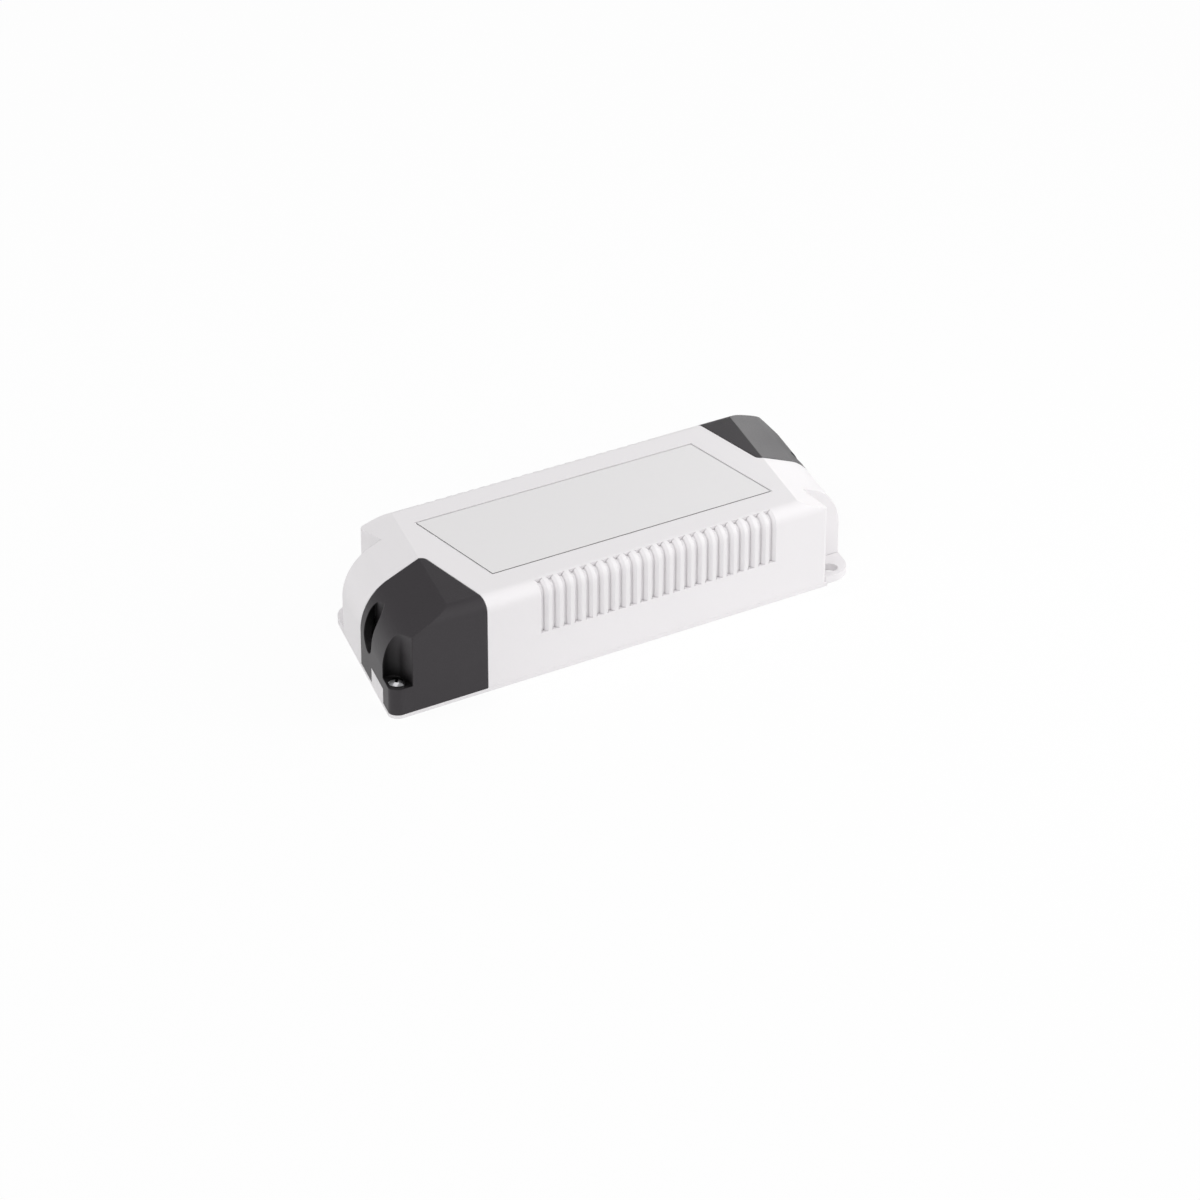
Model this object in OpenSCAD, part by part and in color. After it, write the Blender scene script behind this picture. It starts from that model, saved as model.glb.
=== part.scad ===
// Independent LED driver: a moulded housing on a base with two fixing ears,
// a screwed terminal cover at each end, and the circuit board inside.
// The origin is at the centre of the mounting face. The mains end is at -X.
// The part turned half round about Z has the same housing, covers and base.

/* [Housing] */
// Width over the two long sides
body_w = 52; // [50:0.5:58]
// Height from the mounting face to the flat top
body_h = 22.5; // [22:0.5:28]
// Length of the middle section, between the two cover seams
middle_len = 92; // [88:1:104]
// Length of each end beyond its seam, on the centre line
end_len = 16.75; // [16.5:0.25:20]
// Slant of the end faces, away from square
end_slant = 17.75; // [12:0.25:20]
// Distance from a seam to the crease where the end starts to fall
ramp_gap = 1.3; // [0.8:0.1:2.4]
// Fall of the ramp beyond the crease
ramp_angle = 21.5; // [15:0.5:24]
// Radius between the ramp and the end face
end_round = 11; // [9:0.1:13]
// Radius along the long top edges
shoulder_r = 3.4; // [3:0.1:4.5]
// Distance that the housing's wall beside each ear stands beyond the seam
ear_wall = 0.9; // [0.5:0.1:1.2]
// Radius of that wall's upright outer edge
ear_wall_r = 1.2; // [0.8:0.1:2]
// Wall thickness of the mouldings
wall = 2; // [1.7:0.1:2.3]
// Width of the white nose beside each cover
nose_w = 16; // [14:0.5:18]

/* [Vents] */
// Grooves on each long side
vent_count = 22; // [10:1:26]
// Spacing of the grooves
vent_pitch = 2.96; // [2.6:0.02:3.2]
// Width of a groove at its floor
vent_floor = 0.8; // [0.5:0.1:1]
// Slope of the groove's flanks away from square
vent_draft = 8; // [2:1:20]
// Depth of a groove
vent_depth = 1; // [0.8:0.05:1.2]
// Depth of the bevel along a groove's edges
vent_lip = 0.55; // [0.2:0.05:0.6]
// Slope of that bevel away from square
vent_lip_angle = 45; // [30:1:50]
// Turn of a groove over the shoulder, before it ends
vent_wrap = 75; // [50:1:80]
// Height of the lower end of the grooves
vent_foot = 10.3; // [8:0.1:13]

/* [Label] */
// Length of the blank label
label_len = 75.7; // [60:0.1:78]
// Width of the blank label
label_w = 31.3; // [20:0.1:34]
// Thickness of the blank label
label_t = 0.2; // [0.1:0.05:0.3]
// Gap around the label in its recess
label_gap = 0.45; // [0.2:0.05:0.6]
// Depth of the groove in that gap, below the label's underside
label_groove = 0.3; // [0.1:0.05:0.4]

/* [Base] */
// Height of the rim that shows below the housing and the covers
rim_t = 0.8; // [0.6:0.1:1.2]
// Thickness of the floor inside the rim
floor_t = 1.6; // [1.4:0.1:2]
// Thickness of the fixing ears
ear_t = 1.8; // [1.5:0.1:3]
// Corner radius of the fixing ears
ear_round = 7; // [4:0.5:8]
// Step of the fixing ears in from the long sides
ear_inset = 0.8; // [0.4:0.1:1.2]
// Diameter of the fixing holes
ear_hole_d = 4.2; // [3.5:0.1:4.8]
// Distance from the seam to a fixing hole
ear_hole_in = 4.9; // [4.4:0.1:5.1]
// Distance from the long side to a fixing hole
ear_hole_edge = 4.5; // [4:0.1:4.8]

/* [Terminal covers] */
// Radius of the upright edge at the cover's corner
cover_round = 2.2; // [1.5:0.1:3]
// Radius of the seam's inner corner, between the housing's wall and its nose
seam_r = 1.6; // [1:0.1:2]
// Gap at the seams between the covers and the housing
seam_gap = 0.15; // [0.1:0.05:0.3]
// Width of the cable slot
slot_w = 6.5; // [5:0.1:7.5]
// Height of the cable slot
slot_h = 11; // [9:0.1:12]
// Height of the lower edge of the cable slot
slot_z = 6.8; // [6.2:0.1:8]
// Distance from the seam to the cable slot
slot_offset = 3; // [2.6:0.1:4]
// Height of the screw ledge at the cover's corner
ledge_z = 7; // [6:0.1:8]
// Width of the screw pocket across the part
pocket_w = 7; // [6.6:0.1:7.6]
// Length of the screw pocket along the long side
pocket_len = 5.6; // [5.4:0.1:6.2]
// Inner corner radius of the screw pocket
pocket_round = 2.3; // [1.5:0.1:3]
// Width of the locating lug under the cover's end wall
lug_w = 9.8; // [7:0.1:10]
// Height of the locating lug
lug_h = 4.3; // [3:0.1:5]

/* [Screws] */
// Head diameter of a cover screw
screw_head_d = 3.9; // [3.4:0.1:4.2]
// Head height of a cover screw
screw_head_h = 1.4; // [1:0.1:1.8]
// Shank diameter of a cover screw
screw_d = 2.2; // [1.8:0.1:2.4]
// Length of a cover screw under its head
screw_len = 6; // [5:0.1:6.2]

/* [Circuit board] */
// Height of the underside of the board
board_z = 5; // [4.6:0.1:5.4]
// Thickness of the board
board_t = 1.6; // [1.2:0.1:1.6]
// Pitch of the terminals
pole_pitch = 5; // [4.6:0.1:5.2]
// Height of a terminal block
block_h = 10; // [9:0.1:10.5]
// Depth of a terminal block, along the wire
block_depth = 8; // [7:0.1:8.4]

/* [Hidden] */
$fn = 64;

// Clearances, and the overshoot of a cut
fit = 0.15;
slide = 0.1;
cut = 1;

// How far a round crosses the faces that it blends
blend = 0.005;

// Housing, worked out
half_w = body_w / 2;
half_mid = middle_len / 2;
ear_x = half_mid + ear_wall;
end_reach = half_mid + end_len;
far = 2 * end_reach;
slant_run = tan(end_slant);
end_normal = [-cos(end_slant), sin(end_slant)];
end_out = end_reach * cos(end_slant);
crease_out = (half_mid + ramp_gap) * cos(end_slant);
round_x = end_out - end_round;
ramp_fall = (round_x + end_round * sin(ramp_angle) - crease_out) * tan(ramp_angle);
round_z = body_h - ramp_fall - end_round * cos(ramp_angle);
ceiling_z = body_h - wall;
label_sink = 0.05;
label_z = body_h - label_t - label_sink;
ear_hole_at = [-half_mid - ear_hole_in, half_w - ear_hole_edge];

// Screw pockets and cover screws, at the mains end
pocket_x = -end_reach - slant_run * half_w + pocket_len;
pocket_y = -half_w + pocket_w;
screw_shift = 0.1;
screw_edge = 2.8;
screw_at = [pocket_x - pocket_round + screw_shift, -half_w + screw_edge];
boss_wall = 0.6;
boss_d = screw_d + 2 * boss_wall;
ledge_t = 2;
boss_top = ledge_z - ledge_t;

// Board and its posts
board_edge = 0.4;
board_half_x = half_mid - wall - board_edge;
board_half_y = half_w - wall - board_edge;
board_top = board_z + board_t;
post_inset = 5.3;
post_x = board_half_x - post_inset;
post_y = board_half_y - post_inset;
post_d = 4.4;
pin_d = 2;
pin_rise = 1;

// Cable slot and strain relief, at the mains end
cable_d = slot_w;
cable_y = -slot_offset - slot_w / 2;
cable_z = slot_z + cable_d / 2;
saddle_back = 4.15;
saddle_x = end_reach - saddle_back;
saddle_t = 2;
saddle_side = 0.5;
grip_gap = 1;
lug_shift = 0.4;
lug_y = -slot_offset - slot_w + lug_shift;

// Terminal compartment, at the mains end
tongue_w = 16.4;
tongue_gap = 1;
tongue_shift = 0.2;
tongue_y = -slot_offset - tongue_shift;
tongue_end = saddle_x - tongue_gap;
block_side = 0.5;
block_w = 2 * (pole_pitch + block_side);
block_y = tongue_y - tongue_w / 2;
block_front = tongue_end - board_edge;
block_back = block_front - block_depth;
block_step = [2.4, 3];
rest_t = 2;
window_side = 0.7;
window_fall = 3.4;
window_top = ceiling_z - window_fall;
hook_w = 10;
hook_t = 1.8;
hook_root = 2.6;
hook_len = 0.8;

// Poles of a terminal block
wire_d = 3.2;
driver_d = 3.8;
cage_w = 3.6;
cage_h = 5.4;
cage_wire_d = 2.6;
clamp_d = 2;
wire_z = board_top + 4;
pole_x = -block_back - block_depth / 2;

// Snaps between the base and the housing
lip_t = 1;
lip_h = 2.8;
snap_len = 8;
snap_r = 0.6;
snap_spots = [-28, 0, 28];
snap_z = floor_t + 1.7;
lip_y = half_w - wall - fit;
snap_y = -lip_y + snap_r / 3;

// Places of the components on the board, from its centre
fuse_at = [-37, -7.5];
varistor_at = [-37, 3.5];
film_at = [-24, -13.5];
choke_at = [-24, 1];
bridge_at = [9.3 - post_x, board_half_y - 7.6];
bulk_at = [-9, board_half_y - 8.1];
transistor_at = [-11, -1];
snubber_at = [-11, -9.2];
chip_at = [-10, 5.6 - board_half_y];
transformer_at = [6.5, -1];
safety_at = [6, 6.6 - board_half_y];
opto_at = [14, board_half_y - 6.6];
diode_at = [22, -3];
output_caps_at = [[31.5, -8], [31.5, 4]];

// Leads of the components
lead_d = 0.8;
bent_d = 0.6;
bend_out = 1.5;

// Line choke
choke_inner = 3.2;
choke_outer = 6.4;
choke_h = 5;
choke_wire = 0.9;
choke_z = board_top + choke_wire + slide;

// Transformer: two E cores closed round a bobbin
core_len = 19;
core_w = 16;
core_t = 5;
core_leg = 4.4;
core_limb = 2.4;
core_z = board_top + 3.2;
yoke = 3;
bobbin_t = 0.8;
bobbin_len = core_len - 2 * yoke - 2 * slide;
flange = 2.6;
winding_depth = 2.4;

// X of the mains end face at a place across the part
function end_x(y) = -end_reach + slant_run * y;

// Centre of a rounded upright corner between the mains end face and a long side at y
function corner_centre(y, r) =
    [end_x(y) + r / tan((90 + sign(y) * end_slant) / 2), y - sign(y) * r];

// Y of each pole of a terminal block
function pole_y(i) = block_y + (i - 0.5) * pole_pitch;

// Draws its children at the mains end, and again half a turn round
module both_ends() {
    children();
    rotate([0, 0, 180]) children();
}

// What a round takes off a corner: all that lies beyond its arc, between two directions from its centre
module round_waste(centre, r, from, to) {
    reach = 3 * r;
    difference() {
        polygon([centre, centre + reach * from, centre + reach * (from + to), centre + reach * to]);
        translate(centre) circle(r + blend);
    }
}

// Half section of an end, across its slant: flat top, ramp, round and end face
module end_half(inset) {
    r = end_round - inset;
    top = body_h - inset;
    face = end_out - inset;
    centre = [round_x, round_z];
    steep = [sin(ramp_angle), cos(ramp_angle)];
    tangent = centre + r * steep;
    crease = tangent[0] - (top - tangent[1]) / tan(ramp_angle);
    edge = tangent[1] - (face - tangent[0]) * tan(ramp_angle);
    difference() {
        polygon([[0, 0], [face, 0], [face, edge], [crease, top], [0, top]]);
        round_waste(centre, r, [1, 0], steep);
    }
}

// Section across the long sides, with round shoulders
module cross_section(inset) {
    half = half_w - inset;
    r = shoulder_r - inset;
    top = body_h - inset;
    translate([-half, 0]) square([2 * half, top - r]);
    translate([r - half, 0]) square([2 * (half - r), top]);
    for (side = [-1, 1])
        translate([side * (half - r), top - r]) circle(r);
}

// The whole closed form that housing and covers share, or its inside at a wall's depth
module envelope(inset) {
    intersection() {
        rotate([0, 0, -end_slant]) rotate([90, 0, 0])
            linear_extrude(height = 3 * body_w, center = true) {
                end_half(inset);
                mirror([1, 0]) end_half(inset);
            }
        rotate([90, 0, 90])
            linear_extrude(height = 2 * far, center = true) cross_section(inset);
    }
}

// What rounding takes off an upright corner between the mains end face and a long side at y
module corner_waste(y, r) {
    round_waste(corner_centre(y, r), r, [0, sign(y)], end_normal);
}

// Plan of the housing's fillet in the seam's inner corner at the mains end
module seam_fillet() {
    translate([-half_mid - seam_r, -seam_r]) difference() {
        square(seam_r + cut);
        circle(seam_r + blend);
    }
}

// Plan of the white housing: the middle section with a nose at each end
module housing_plan(inset) {
    seam = half_mid - inset;
    ear = ear_x - inset;
    y = half_w - inset;
    outer = nose_w - inset;
    polygon([
        [-seam, -y], [ear, -y], [ear, -outer], [far, -outer], [far, -inset], [seam, -inset],
        [seam, y], [-ear, y], [-ear, outer], [-far, outer], [-far, inset], [-seam, inset]
    ]);
}

// What rounding takes off the housing's upright edge beside the ear at the mains end
module ear_wall_waste() {
    round_waste([ear_wall_r - ear_x, half_w - ear_wall_r], ear_wall_r, [-1, 0], [0, 1]);
}

// One groove on the near side: upright, then bent over the shoulder at an even depth
module vent_groove() {
    reach = 2;
    lip_depth = vent_depth - vent_lip;
    neck = vent_floor / 2 + lip_depth * tan(vent_draft);
    mouth = neck + (vent_lip + reach) * tan(vent_lip_angle);
    bend_z = body_h - shoulder_r;
    flank = [
        [0, -vent_floor / 2], [0, vent_floor / 2], [lip_depth, neck],
        [vent_depth + reach, mouth], [vent_depth + reach, -mouth], [lip_depth, -neck]
    ];
    translate([0, vent_depth - half_w, vent_foot]) rotate([0, 0, -90])
        linear_extrude(height = bend_z - vent_foot) polygon(flank);
    translate([0, shoulder_r - half_w, bend_z]) rotate([90, 0, -90])
        rotate_extrude(angle = vent_wrap) translate([shoulder_r - vent_depth, 0]) polygon(flank);
}

// Post that stands on a board or a floor
module post(place, low, high, d) {
    translate([place[0], place[1], low]) cylinder(d = d, h = high - low);
}

// Box given by two opposite corners
module block(low, high) {
    translate(low) cube(high - low);
}

// Plan of the screw pocket at the cover's corner, grown by a wall where asked
module pocket_plan(grow) {
    x = pocket_x + grow;
    y = pocket_y + grow;
    r = pocket_round + grow;
    translate([-far, -far]) square([x - r + far, y + far]);
    translate([-far, -far]) square([x + far, y - r + far]);
    translate([x - r, y - r]) circle(r);
}

// Upright cable slot with a round top and bottom, through the end wall
module cable_slot() {
    slot_r = slot_w / 2;
    translate([-far, cable_y, slot_z]) rotate([90, 0, 90])
        linear_extrude(height = far - saddle_x - saddle_t) {
            translate([0, slot_r]) circle(slot_r);
            translate([0, slot_h - slot_r]) circle(slot_r);
            translate([-slot_r, slot_r]) square([slot_w, slot_h - slot_w]);
        }
}

// The cable's own room through the strain relief
module cable_bore() {
    translate([-far, cable_y, cable_z]) rotate([0, 90, 0]) cylinder(d = cable_d, h = far);
}

// Hook on a cover's inner edge that catches behind the top of the housing's window
module cover_hook() {
    low = [-half_mid - hook_root, block_y - hook_w / 2, window_top - hook_t];
    high_y = block_y + hook_w / 2;
    block(low, [-half_mid - seam_gap, high_y, ceiling_z + wall / 2]);
    block(low, [-half_mid + wall + hook_len, high_y, window_top - slide]);
}

// Walls round the screw pocket, and the screw's post under its ledge
module pocket_walls() {
    intersection() {
        envelope(0);
        union() {
            translate([0, 0, ledge_z - wall]) linear_extrude(height = body_h) pocket_plan(wall);
            post(screw_at, rim_t, ledge_z, boss_d + 2 * wall);
        }
    }
}

// Rib in the cover that presses on the cable
module cable_rib() {
    intersection() {
        envelope(wall / 2);
        block([-saddle_x - saddle_t, cable_y - slot_w / 2 - wall / 2, cable_z + grip_gap],
              [-saddle_x, -seam_gap - wall / 2, body_h]);
    }
}

// Terminal cover at the mains end
module terminal_cover() {
    seam_x = -half_mid - seam_gap;
    difference() {
        union() {
            difference() {
                intersection() {
                    envelope(0);
                    block([-far, -far, rim_t], [seam_x, -seam_gap, body_h + cut]);
                }
                intersection() {
                    envelope(wall);
                    block([-far, -far, 0], [seam_x + cut, -seam_gap - wall, body_h]);
                }
            }
            pocket_walls();
            cable_rib();
            cover_hook();
        }
        translate([0, 0, ledge_z]) linear_extrude(height = body_h) pocket_plan(0);
        linear_extrude(height = body_h + cut) {
            corner_waste(-half_w, cover_round);
            round_waste([-half_mid - seam_r, -seam_r], seam_r - seam_gap, [1, 0], [0, 1]);
        }
        post(screw_at, 0, boss_top + slide, boss_d + 2 * slide);
        post(screw_at, 0, ledge_z + cut, screw_d + 2 * fit);
        cable_slot();
        cable_bore();
        block([-far, lug_y - lug_w - slide, 0], [end_x(lug_y) + 2 * wall, lug_y + slide, lug_h + slide]);
    }
}

// Saddle that carries the cable behind the slot
module cable_saddle() {
    difference() {
        block([-saddle_x - saddle_t, cable_y - slot_w / 2 - saddle_side, 0],
              [-saddle_x, cable_y + slot_w / 2 + saddle_side, cable_z - grip_gap]);
        cable_bore();
    }
}

// Outline of the base: slanted ends, small cover corners, and ears with a step and a large corner
module base_plan() {
    mains_end = [[end_x(-half_w), -half_w], [end_x(half_w), half_w]];
    ear_y = half_w - ear_inset;
    difference() {
        polygon(concat(mains_end, -1 * mains_end));
        both_ends() {
            corner_waste(-half_w, cover_round);
            corner_waste(ear_y, ear_round);
            translate([-far, ear_y]) square([far - ear_x - fit, ear_inset + cut]);
        }
    }
}

// Plate of the base: a thin rim all round, with its ears and the lugs in the covers' end walls
module base_plate() {
    intersection() {
        linear_extrude(height = lug_h) base_plan();
        union() {
            block([-far, -body_w, 0], [far, body_w, rim_t]);
            both_ends() {
                block([-far, nose_w + fit, 0], [-ear_x - fit, body_w, ear_t]);
                block([-far, lug_y - lug_w, 0], [end_x(lug_y) + wall, lug_y, lug_h]);
            }
        }
    }
}

// Base with its plate, floor, bosses, board posts and snap lips
module base_tray() {
    floor_x = half_mid - wall - fit;
    color("whitesmoke")
    difference() {
        union() {
            base_plate();
            block([-floor_x, -lip_y, 0], [floor_x, lip_y, floor_t]);
            for (sx = [-1, 1], sy = [-1, 1]) {
                post([sx * post_x, sy * post_y], 0, board_z, post_d);
                post([sx * post_x, sy * post_y], 0, board_top + pin_rise, pin_d);
            }
            both_ends() {
                cable_saddle();
                post(screw_at, 0, boss_top, boss_d);
                block([-block_front + rest_t, block_y - block_w / 2, 0],
                      [-block_front + 2 * rest_t, block_y + block_w / 2, board_z]);
                block([-post_x, -lip_y, 0], [post_x, -lip_y + lip_t, floor_t + lip_h]);
                for (x = snap_spots)
                    translate([x - snap_len / 2, snap_y, snap_z]) rotate([0, 90, 0])
                        cylinder(r = snap_r, h = snap_len);
            }
        }
        both_ends() {
            post(ear_hole_at, -cut, ear_t + cut, ear_hole_d);
            post(screw_at, ledge_z - screw_len - 2 * fit, boss_top + cut, screw_d + slide);
        }
    }
}

// Housing shell with noses, wrapped vents, label recess and hold-down posts for the board
module top_housing() {
    label = [label_len, label_w];
    recess = label + 2 * [label_gap, label_gap];
    first_vent = -(vent_count - 1) / 2 * vent_pitch;
    color("white")
    difference() {
        union() {
            difference() {
                intersection() {
                    envelope(0);
                    translate([0, 0, rim_t]) linear_extrude(height = body_h) {
                        both_ends() seam_fillet();
                        difference() {
                            housing_plan(0);
                            both_ends() ear_wall_waste();
                        }
                    }
                }
                intersection() {
                    envelope(wall);
                    linear_extrude(height = body_h) housing_plan(wall);
                }
            }
            for (sx = [-1, 1], sy = [-1, 1])
                post([sx * post_x, sy * post_y], board_top + slide, ceiling_z + wall / 2, post_d);
        }
        for (sx = [-1, 1], sy = [-1, 1])
            post([sx * post_x, sy * post_y], board_top, board_top + pin_rise + 2 * slide, pin_d + 2 * slide);
        translate([0, 0, label_z]) linear_extrude(height = cut) square(recess, center = true);
        translate([0, 0, label_z - label_groove]) linear_extrude(height = cut) difference() {
            square(recess, center = true);
            square(label, center = true);
        }
        both_ends() {
            for (i = [0 : vent_count - 1])
                translate([first_vent + i * vent_pitch, 0, 0]) vent_groove();
            block([-half_mid - cut, tongue_y - tongue_w - window_side, 0],
                  [-half_mid + wall + cut, tongue_y + window_side, window_top]);
            for (x = snap_spots)
                translate([x - snap_len / 2 - fit, snap_y, snap_z]) rotate([0, 90, 0])
                    cylinder(r = snap_r + fit, h = snap_len + 2 * fit);
        }
    }
}

// Terminal cover over the mains cable
module input_cover() {
    color("dimgray") terminal_cover();
}

// Terminal cover over the lamp cable
module output_cover() {
    color("dimgray") rotate([0, 0, 180]) terminal_cover();
}

// Pan-head screw with a cross recess, standing on its head's underside
module cover_screw() {
    recess_w = 0.7;
    recess_len = 2.5;
    recess_depth = 0.9;
    brim = 0.4;
    dome_h = screw_head_h - brim;
    dome_r = (pow(screw_head_d / 2, 2) + pow(dome_h, 2)) / (2 * dome_h);
    difference() {
        union() {
            intersection() {
                translate([0, 0, screw_head_h - dome_r]) sphere(dome_r);
                cylinder(d = screw_head_d, h = screw_head_h);
            }
            translate([0, 0, -screw_len]) cylinder(d = screw_d, h = screw_len + brim);
        }
        for (turn = [45, 135]) rotate([0, 0, turn])
            block([-recess_len / 2, -recess_w / 2, screw_head_h - recess_depth],
                  [recess_len / 2, recess_w / 2, screw_head_h + cut]);
    }
}

// The two cover screws
module cover_screws() {
    color("silver")
    both_ends() translate([screw_at[0], screw_at[1], ledge_z]) cover_screw();
}

// Blank label in the recess on the flat top
module blank_label() {
    color("gainsboro")
    translate([0, 0, label_z]) linear_extrude(height = label_t) square([label_len, label_w], center = true);
}

// Board with a tongue under each cover and holes for the posts' pins
module circuit_board() {
    color("seagreen")
    difference() {
        union() {
            block([-board_half_x, -board_half_y, board_z], [board_half_x, board_half_y, board_top]);
            both_ends()
                block([-tongue_end, tongue_y - tongue_w, board_z], [0, tongue_y, board_top]);
        }
        for (sx = [-1, 1], sy = [-1, 1])
            post([sx * post_x, sy * post_y], board_z - cut, board_top + cut, pin_d + 2 * slide);
    }
}

// Two-pole screw terminal block at the mains end, with a stepped front
module terminal_block() {
    cage_half = [cage_w / 2 + slide, cage_w / 2 + slide, cage_h / 2 + slide];
    difference() {
        translate([0, block_y + block_w / 2, board_top]) rotate([90, 0, 0])
            linear_extrude(height = block_w) polygon([
                [-block_back, 0], [-block_back, block_h], [-block_front + block_step[0], block_h],
                [-block_front, block_h - block_step[1]], [-block_front, 0]
            ]);
        for (i = [0, 1]) {
            post([pole_x, pole_y(i)], wire_z, board_top + block_h + cut, driver_d);
            translate([-block_front - cut, pole_y(i), wire_z]) rotate([0, 90, 0])
                cylinder(d = wire_d, h = block_depth / 2 + cut);
            translate([pole_x, pole_y(i), wire_z]) block(-cage_half, cage_half);
        }
    }
}

// Mains terminal block
module input_terminal_block() {
    color("darkgreen") terminal_block();
}

// Lamp terminal block
module output_terminal_block() {
    color("darkgreen") rotate([0, 0, 180]) terminal_block();
}

// Metal cages that clamp the wires inside the terminal blocks
module wire_cages() {
    cage_half = [cage_w / 2, cage_w / 2, cage_h / 2];
    color("goldenrod")
    both_ends() for (i = [0, 1]) translate([pole_x, pole_y(i), wire_z])
        difference() {
            block(-cage_half - [0, 0, slide], cage_half);
            rotate([0, 90, 0]) cylinder(d = cage_wire_d, h = 2 * cage_w, center = true);
            cylinder(d = clamp_d + 2 * slide, h = cage_h);
        }
}

// Slotted screws of the terminals
module terminal_screws() {
    head_h = 2;
    drive_w = 0.6;
    drive_depth = 0.8;
    clamp_gap = 1.2;
    head_d = driver_d - 4 * slide;
    head_z = cage_h / 2 + slide;
    color("silver")
    both_ends() for (i = [0, 1]) translate([pole_x, pole_y(i), wire_z])
        difference() {
            union() {
                translate([0, 0, head_z]) cylinder(d = head_d, h = head_h);
                translate([0, 0, clamp_gap]) cylinder(d = clamp_d, h = head_z + head_h / 2 - clamp_gap);
            }
            block([-driver_d, -drive_w / 2, head_z + head_h - drive_depth],
                  [driver_d, drive_w / 2, head_z + head_h + cut]);
        }
}

// Lead from a component down to the board
module lead(x, y, top) {
    post([x, y], board_top, top, lead_d);
}

// Miniature fuse in a round case, standing on its foot
module fuse() {
    fuse_d = 8.4;
    fuse_h = 7.6;
    foot_d = 6.4;
    foot_h = 0.8;
    color("saddlebrown") {
        post(fuse_at, board_top, board_top + fuse_h / 2, foot_d);
        post(fuse_at, board_top + foot_h, board_top + fuse_h, fuse_d);
    }
}

// Disc on edge with two leads: the shape of a varistor or a ceramic capacitor
module disc_component(place, d, t) {
    stand_off = 0.9;
    centre_z = board_top + stand_off + d / 2;
    edge_r = t * 0.3;
    translate([place[0], place[1], centre_z]) rotate([90, 0, 0]) rotate_extrude() {
        translate([0, -t / 2]) square([d / 2 - edge_r, t]);
        translate([0, edge_r - t / 2]) square([d / 2, t - 2 * edge_r]);
        for (side = [-1, 1])
            translate([d / 2 - edge_r, side * (t / 2 - edge_r)]) circle(edge_r);
    }
    for (side = [-1, 1])
        lead(place[0] + side * d / 4, place[1], centre_z - d / 4);
}

// Surge varistor
module varistor() {
    varistor_d = 9;
    varistor_t = 3.6;
    color("royalblue") disc_component(varistor_at, varistor_d, varistor_t);
}

// Ceramic capacitor across the isolation barrier
module safety_capacitor() {
    safety_d = 8;
    safety_t = 4;
    color("steelblue") disc_component(safety_at, safety_d, safety_t);
}

// Film capacitor in a box case on small feet
module film_capacitor() {
    film_len = 13;
    film_w = 6;
    film_h = 10;
    foot_len = 1.5;
    foot_h = 0.5;
    size = [film_len, film_w, film_h];
    low = [film_at[0] - size[0] / 2, film_at[1] - size[1] / 2, board_top];
    color("gold")
    difference() {
        block(low, low + size);
        block(low + [foot_len, -cut, -cut], low + [size[0] - foot_len, size[1] + cut, foot_h]);
    }
}

// Ferrite ring of the line choke
module choke_core() {
    color("dimgray")
    translate([choke_at[0], choke_at[1], choke_z]) rotate_extrude()
        translate([choke_inner, 0]) square([choke_outer - choke_inner, choke_h]);
}

// The two windings of the line choke, one on each side of its ring
module choke_windings() {
    span = 140;
    color("orangered")
    translate([choke_at[0], choke_at[1], choke_z]) for (turn = [0, 180])
        rotate([0, 0, turn - span / 2]) rotate_extrude(angle = span) difference() {
            translate([choke_inner - choke_wire, -choke_wire])
                square([choke_outer - choke_inner + 2 * choke_wire, choke_h + 2 * choke_wire]);
            translate([choke_inner - slide / 2, -slide / 2])
                square([choke_outer - choke_inner + slide, choke_h + slide]);
        }
}

// Moulded package with pins along two sides
module pinned_package(place, size, pins) {
    pin_pitch = 2.54;
    pin_w = 0.6;
    pin_t = 0.4;
    pin_out = 0.5;
    stand_off = 0.4;
    pin_z = stand_off + size[2] / 2;
    pin_y = size[1] / 2 + pin_out;
    translate([place[0], place[1], board_top]) {
        block([-size[0] / 2, -size[1] / 2, stand_off], [size[0] / 2, size[1] / 2, stand_off + size[2]]);
        for (i = [0 : pins - 1], turn = [0, 180])
            translate([(i - (pins - 1) / 2) * pin_pitch, 0, 0]) rotate([0, 0, turn]) {
                block([-pin_w / 2, pin_y - pin_t / 2, 0], [pin_w / 2, pin_y + pin_t / 2, pin_z]);
                block([-pin_w / 2, 0, pin_z - pin_t], [pin_w / 2, pin_y, pin_z]);
            }
    }
}

// Bridge rectifier
module bridge_rectifier() {
    bridge_len = 8.4;
    bridge_w = 6.4;
    bridge_h = 3;
    color("black") pinned_package(bridge_at, [bridge_len, bridge_w, bridge_h], 2);
}

// Controller chip
module controller_chip() {
    chip_len = 9.6;
    chip_w = 6.2;
    chip_h = 3.2;
    color("black") pinned_package(chip_at, [chip_len, chip_w, chip_h], 4);
}

// Optocoupler of the feedback path
module optocoupler() {
    opto_len = 4.6;
    opto_w = 6.2;
    opto_h = 3.2;
    color("ivory") pinned_package(opto_at, [opto_len, opto_w, opto_h], 2);
}

// Can of an electrolytic capacitor, standing on its leads' end, with a rolled groove
module capacitor_can(d, h) {
    crimp = 0.5;
    crimp_z = 2;
    rotate_extrude() difference() {
        square([d / 2, h]);
        translate([d / 2, crimp_z]) circle(crimp);
        translate([d / 2 - crimp, h - crimp]) difference() {
            square(2 * crimp);
            circle(crimp);
        }
    }
}

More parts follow.
